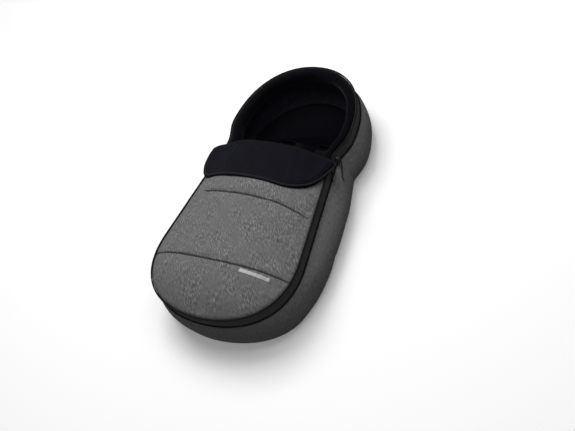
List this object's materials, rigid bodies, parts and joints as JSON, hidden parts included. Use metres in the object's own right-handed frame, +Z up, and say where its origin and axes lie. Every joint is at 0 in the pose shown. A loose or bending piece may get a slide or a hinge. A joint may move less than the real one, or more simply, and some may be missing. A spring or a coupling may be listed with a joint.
{
  "type": "stroller footmuff",
  "caption": "Padded footmuff that zips open round the toe, with a quilted fold-back cover, a turned-down cuff, a fleece lining and a drawn hood end.",
  "frame": {"origin": "centre of the box on the floor, on the back panel's underside", "axes": "+Z up from the back to the cover, -Y to the toe, +Y to the hood, +X to the side with the cord lock"},
  "size_m": [0.4866, 0.8408, 0.2175],
  "materials": {
    "grey_melange_fabric": "matte",
    "black_fleece": "matte",
    "navy_cuff_fabric": "matte",
    "black_zip_tape": "matte",
    "white_wadding": "matte",
    "dark_back_fabric": "matte",
    "anti_slip_rubber": "matte",
    "black_nylon_coil": "satin",
    "black_lacquered_zinc": "satin",
    "black_moulded_plastic": "satin",
    "spring_steel": "satin",
    "silver_label_weave": "satin"
  },
  "bodies": {
    "bag": {"back_panel": "dark_back_fabric", "anti_slip_patch": "anti_slip_rubber", "back_wadding": "white_wadding", "back_lining": "black_fleece", "shoulder_slot_right_binding": "black_zip_tape", "shoulder_slot_left_binding": "black_zip_tape", "waist_slot_right_binding": "black_zip_tape", "waist_slot_left_binding": "black_zip_tape", "crotch_slot_binding": "black_zip_tape", "foot_gusset": "grey_melange_fabric", "foot_gusset_lining": "black_fleece", "hood_gusset": "grey_melange_fabric", "hood_gusset_lining": "black_fleece", "hood_rim": "black_fleece", "hood_band": "black_zip_tape", "hood_piping_upper": "black_zip_tape", "hood_piping_lower": "black_zip_tape", "hood_drawcord": "black_zip_tape", "drawcord_end": "black_moulded_plastic", "cord_eyelet": "black_lacquered_zinc", "cord_lock_barrel": "black_moulded_plastic", "cord_lock_spring": "spring_steel", "zip_tape_gusset": "black_zip_tape", "zip_coil_gusset": "black_nylon_coil", "gusset_piping": "black_zip_tape", "zip_stop_right": "black_lacquered_zinc", "zip_stop_left": "black_lacquered_zinc", "cover_foot": "grey_melange_fabric", "cover_foot_lining": "black_fleece", "zip_tape_foot": "black_zip_tape", "zip_coil_foot": "black_nylon_coil", "piping_foot": "black_zip_tape", "label_tab": "silver_label_weave"},
    "cover_middle": {"cover_middle": "grey_melange_fabric", "cover_middle_lining": "black_fleece", "zip_tape_middle_right": "black_zip_tape", "zip_tape_middle_left": "black_zip_tape", "zip_coil_middle_right": "black_nylon_coil", "zip_coil_middle_left": "black_nylon_coil", "piping_middle_right": "black_zip_tape", "piping_middle_left": "black_zip_tape"},
    "cover_top": {"cover_top": "grey_melange_fabric", "cover_top_lining": "black_fleece", "zip_tape_top_right": "black_zip_tape", "zip_tape_top_left": "black_zip_tape", "zip_coil_top_right": "black_nylon_coil", "zip_coil_top_left": "black_nylon_coil", "piping_top_right": "black_zip_tape", "piping_top_left": "black_zip_tape"},
    "cuff": {"cuff_backing": "black_fleece", "cuff_flap": "navy_cuff_fabric", "cuff_binding": "black_zip_tape"},
    "slider_right": {"zip_slider_right": "black_lacquered_zinc"},
    "slider_left": {"zip_slider_left": "black_lacquered_zinc"},
    "pull_right": {"pull_link_right": "black_lacquered_zinc", "pull_tab_right": "black_zip_tape"},
    "pull_left": {"pull_link_left": "black_lacquered_zinc", "pull_tab_left": "black_zip_tape"},
    "cord_lock_button": {"cord_lock_plunger": "black_moulded_plastic"}
  },
  "joints": [
    {"name": "cover_fold_low", "type": "hinge", "parent": "bag", "child": "cover_middle", "pos_m": [0, -0.261, 0.2065], "axis": [1, 0, 0], "range_deg": [0, 140]},
    {"name": "cover_fold_high", "type": "hinge", "parent": "cover_middle", "child": "cover_top", "pos_m": [0, -0.063, 0.2065], "axis": [1, 0, 0], "range_deg": [0, 115]},
    {"name": "cuff_fold", "type": "hinge", "parent": "cover_top", "child": "cuff", "pos_m": [0, 0.103, 0.214], "axis": [-1, 0, 0], "range_deg": [0, 175]},
    {"name": "slider_right", "type": "slide", "parent": "bag", "child": "slider_right", "axis": [0.1414, -0.9899, 0], "range_m": [0, 0.295]},
    {"name": "slider_left", "type": "slide", "parent": "bag", "child": "slider_left", "axis": [-0.1414, -0.9899, 0], "range_m": [0, 0.295]},
    {"name": "pull_right", "type": "hinge", "parent": "slider_right", "child": "pull_right", "pos_m": [0.17713, 0.10077, 0.132], "axis": [0.0446, -0.3391, 0.9397], "range_deg": [0, 150]},
    {"name": "pull_left", "type": "hinge", "parent": "slider_left", "child": "pull_left", "pos_m": [-0.17713, 0.10077, 0.132], "axis": [0.0446, 0.3391, -0.9397], "range_deg": [0, 150]},
    {"name": "cord_lock_press", "type": "slide", "parent": "bag", "child": "cord_lock_button", "axis": [0, 0, -1], "range_m": [0, 0.003], "stiffness_N_per_m": 400, "springref_m": -0.002, "deforming": ["cord_lock_spring"]}
  ]
}
